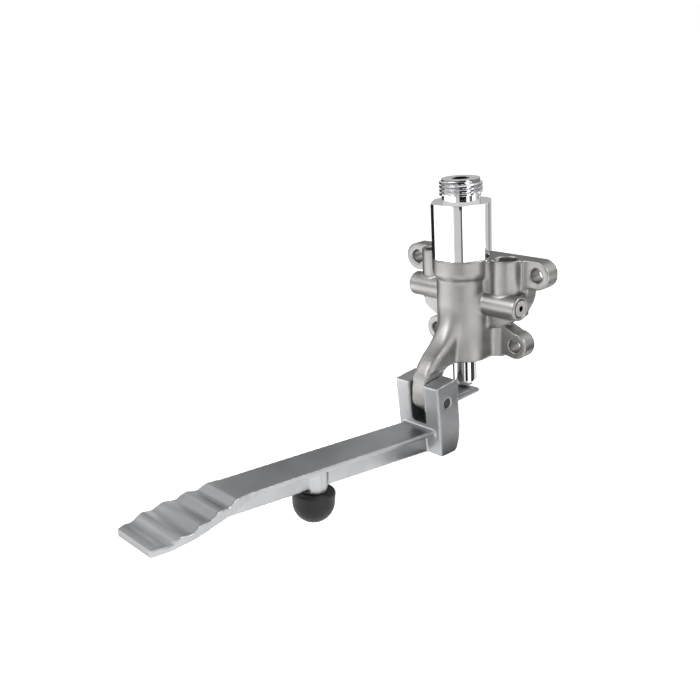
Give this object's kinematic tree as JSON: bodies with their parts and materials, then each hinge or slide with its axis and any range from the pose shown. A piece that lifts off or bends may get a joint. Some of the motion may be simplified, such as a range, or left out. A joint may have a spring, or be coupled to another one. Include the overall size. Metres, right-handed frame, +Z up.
{
  "type": "foot pedal tap valve",
  "caption": "Wall-mounted foot pedal mixing valve with threaded inlets, a hexagonal chrome outlet barrel, a rippled pedal, a lifting pusher rod and a rubber bumper.",
  "frame": {"origin": "on the wall plane, midway between the two upper fixing holes", "axes": "+X sideways, +Y into the wall (the pedal points along -Y), +Z up along the valve axis"},
  "size_m": [0.089, 0.2107, 0.1375],
  "materials": {
    "cast_body": "satin, blasted casting",
    "cast_pedal": "satin, blasted casting",
    "chrome": "polished",
    "brass": "turned",
    "steel": "drawn",
    "plug_steel": "turned, satin",
    "dark_pin": "blackened",
    "black_rubber": "moulded, satin",
    "fibre": "matt",
    "white_plastic": "moulded"
  },
  "bodies": {
    "valve_base": {"valve_body": "cast_body", "outlet_barrel": "chrome", "barrel_o_ring": "black_rubber", "seat_ring": "brass", "seat_gasket": "fibre", "return_spring": "steel", "stem_gland": "brass", "stem_o_rings": "black_rubber", "gland_o_ring": "black_rubber", "guide_bush": "brass", "pusher_wiper": "black_rubber", "check_housing_left": "white_plastic", "check_housing_right": "white_plastic", "check_spring_left": "steel", "check_spring_right": "steel", "inlet_strainers": "steel", "plug_left": "plug_steel", "plug_right": "plug_steel", "plug_o_rings": "black_rubber", "hinge_bush": "white_plastic"},
    "pedal_lever": {"pedal": "cast_pedal", "bumper": "black_rubber", "bumper_stud": "steel", "hinge_pin": "dark_pin"},
    "plunger": {"valve_stem": "steel", "valve_washer": "black_rubber", "washer_nut": "brass", "pusher": "chrome"},
    "left_check": {"check_poppet_left": "white_plastic"},
    "right_check": {"check_poppet_right": "white_plastic"}
  },
  "joints": [
    {"name": "pedal_hinge", "type": "hinge", "parent": "valve_base", "child": "pedal_lever", "pos_m": [0, -0.0453, -0.0585], "axis": [1, 0, 0], "range_deg": [0, 10], "stiffness_Nm_per_rad": 6, "springref_deg": -8.59},
    {"name": "plunger_slide", "type": "slide", "parent": "valve_base", "child": "plunger", "axis": [0, 0, 1], "range_m": [0, 0.0052], "deforming": ["return_spring"]},
    {"name": "left_check_slide", "type": "slide", "parent": "valve_base", "child": "left_check", "axis": [0, 0, -1], "range_m": [0, 0.0015], "stiffness_N_per_m": 60, "springref_m": -0.002, "deforming": ["check_spring_left"]},
    {"name": "right_check_slide", "type": "slide", "parent": "valve_base", "child": "right_check", "axis": [0, 0, -1], "range_m": [0, 0.0015], "stiffness_N_per_m": 60, "springref_m": -0.002, "deforming": ["check_spring_right"]}
  ],
  "couplings": [
    {"joint": "plunger_slide", "follows": "pedal_hinge", "m_per_rad": 0.029377}
  ]
}
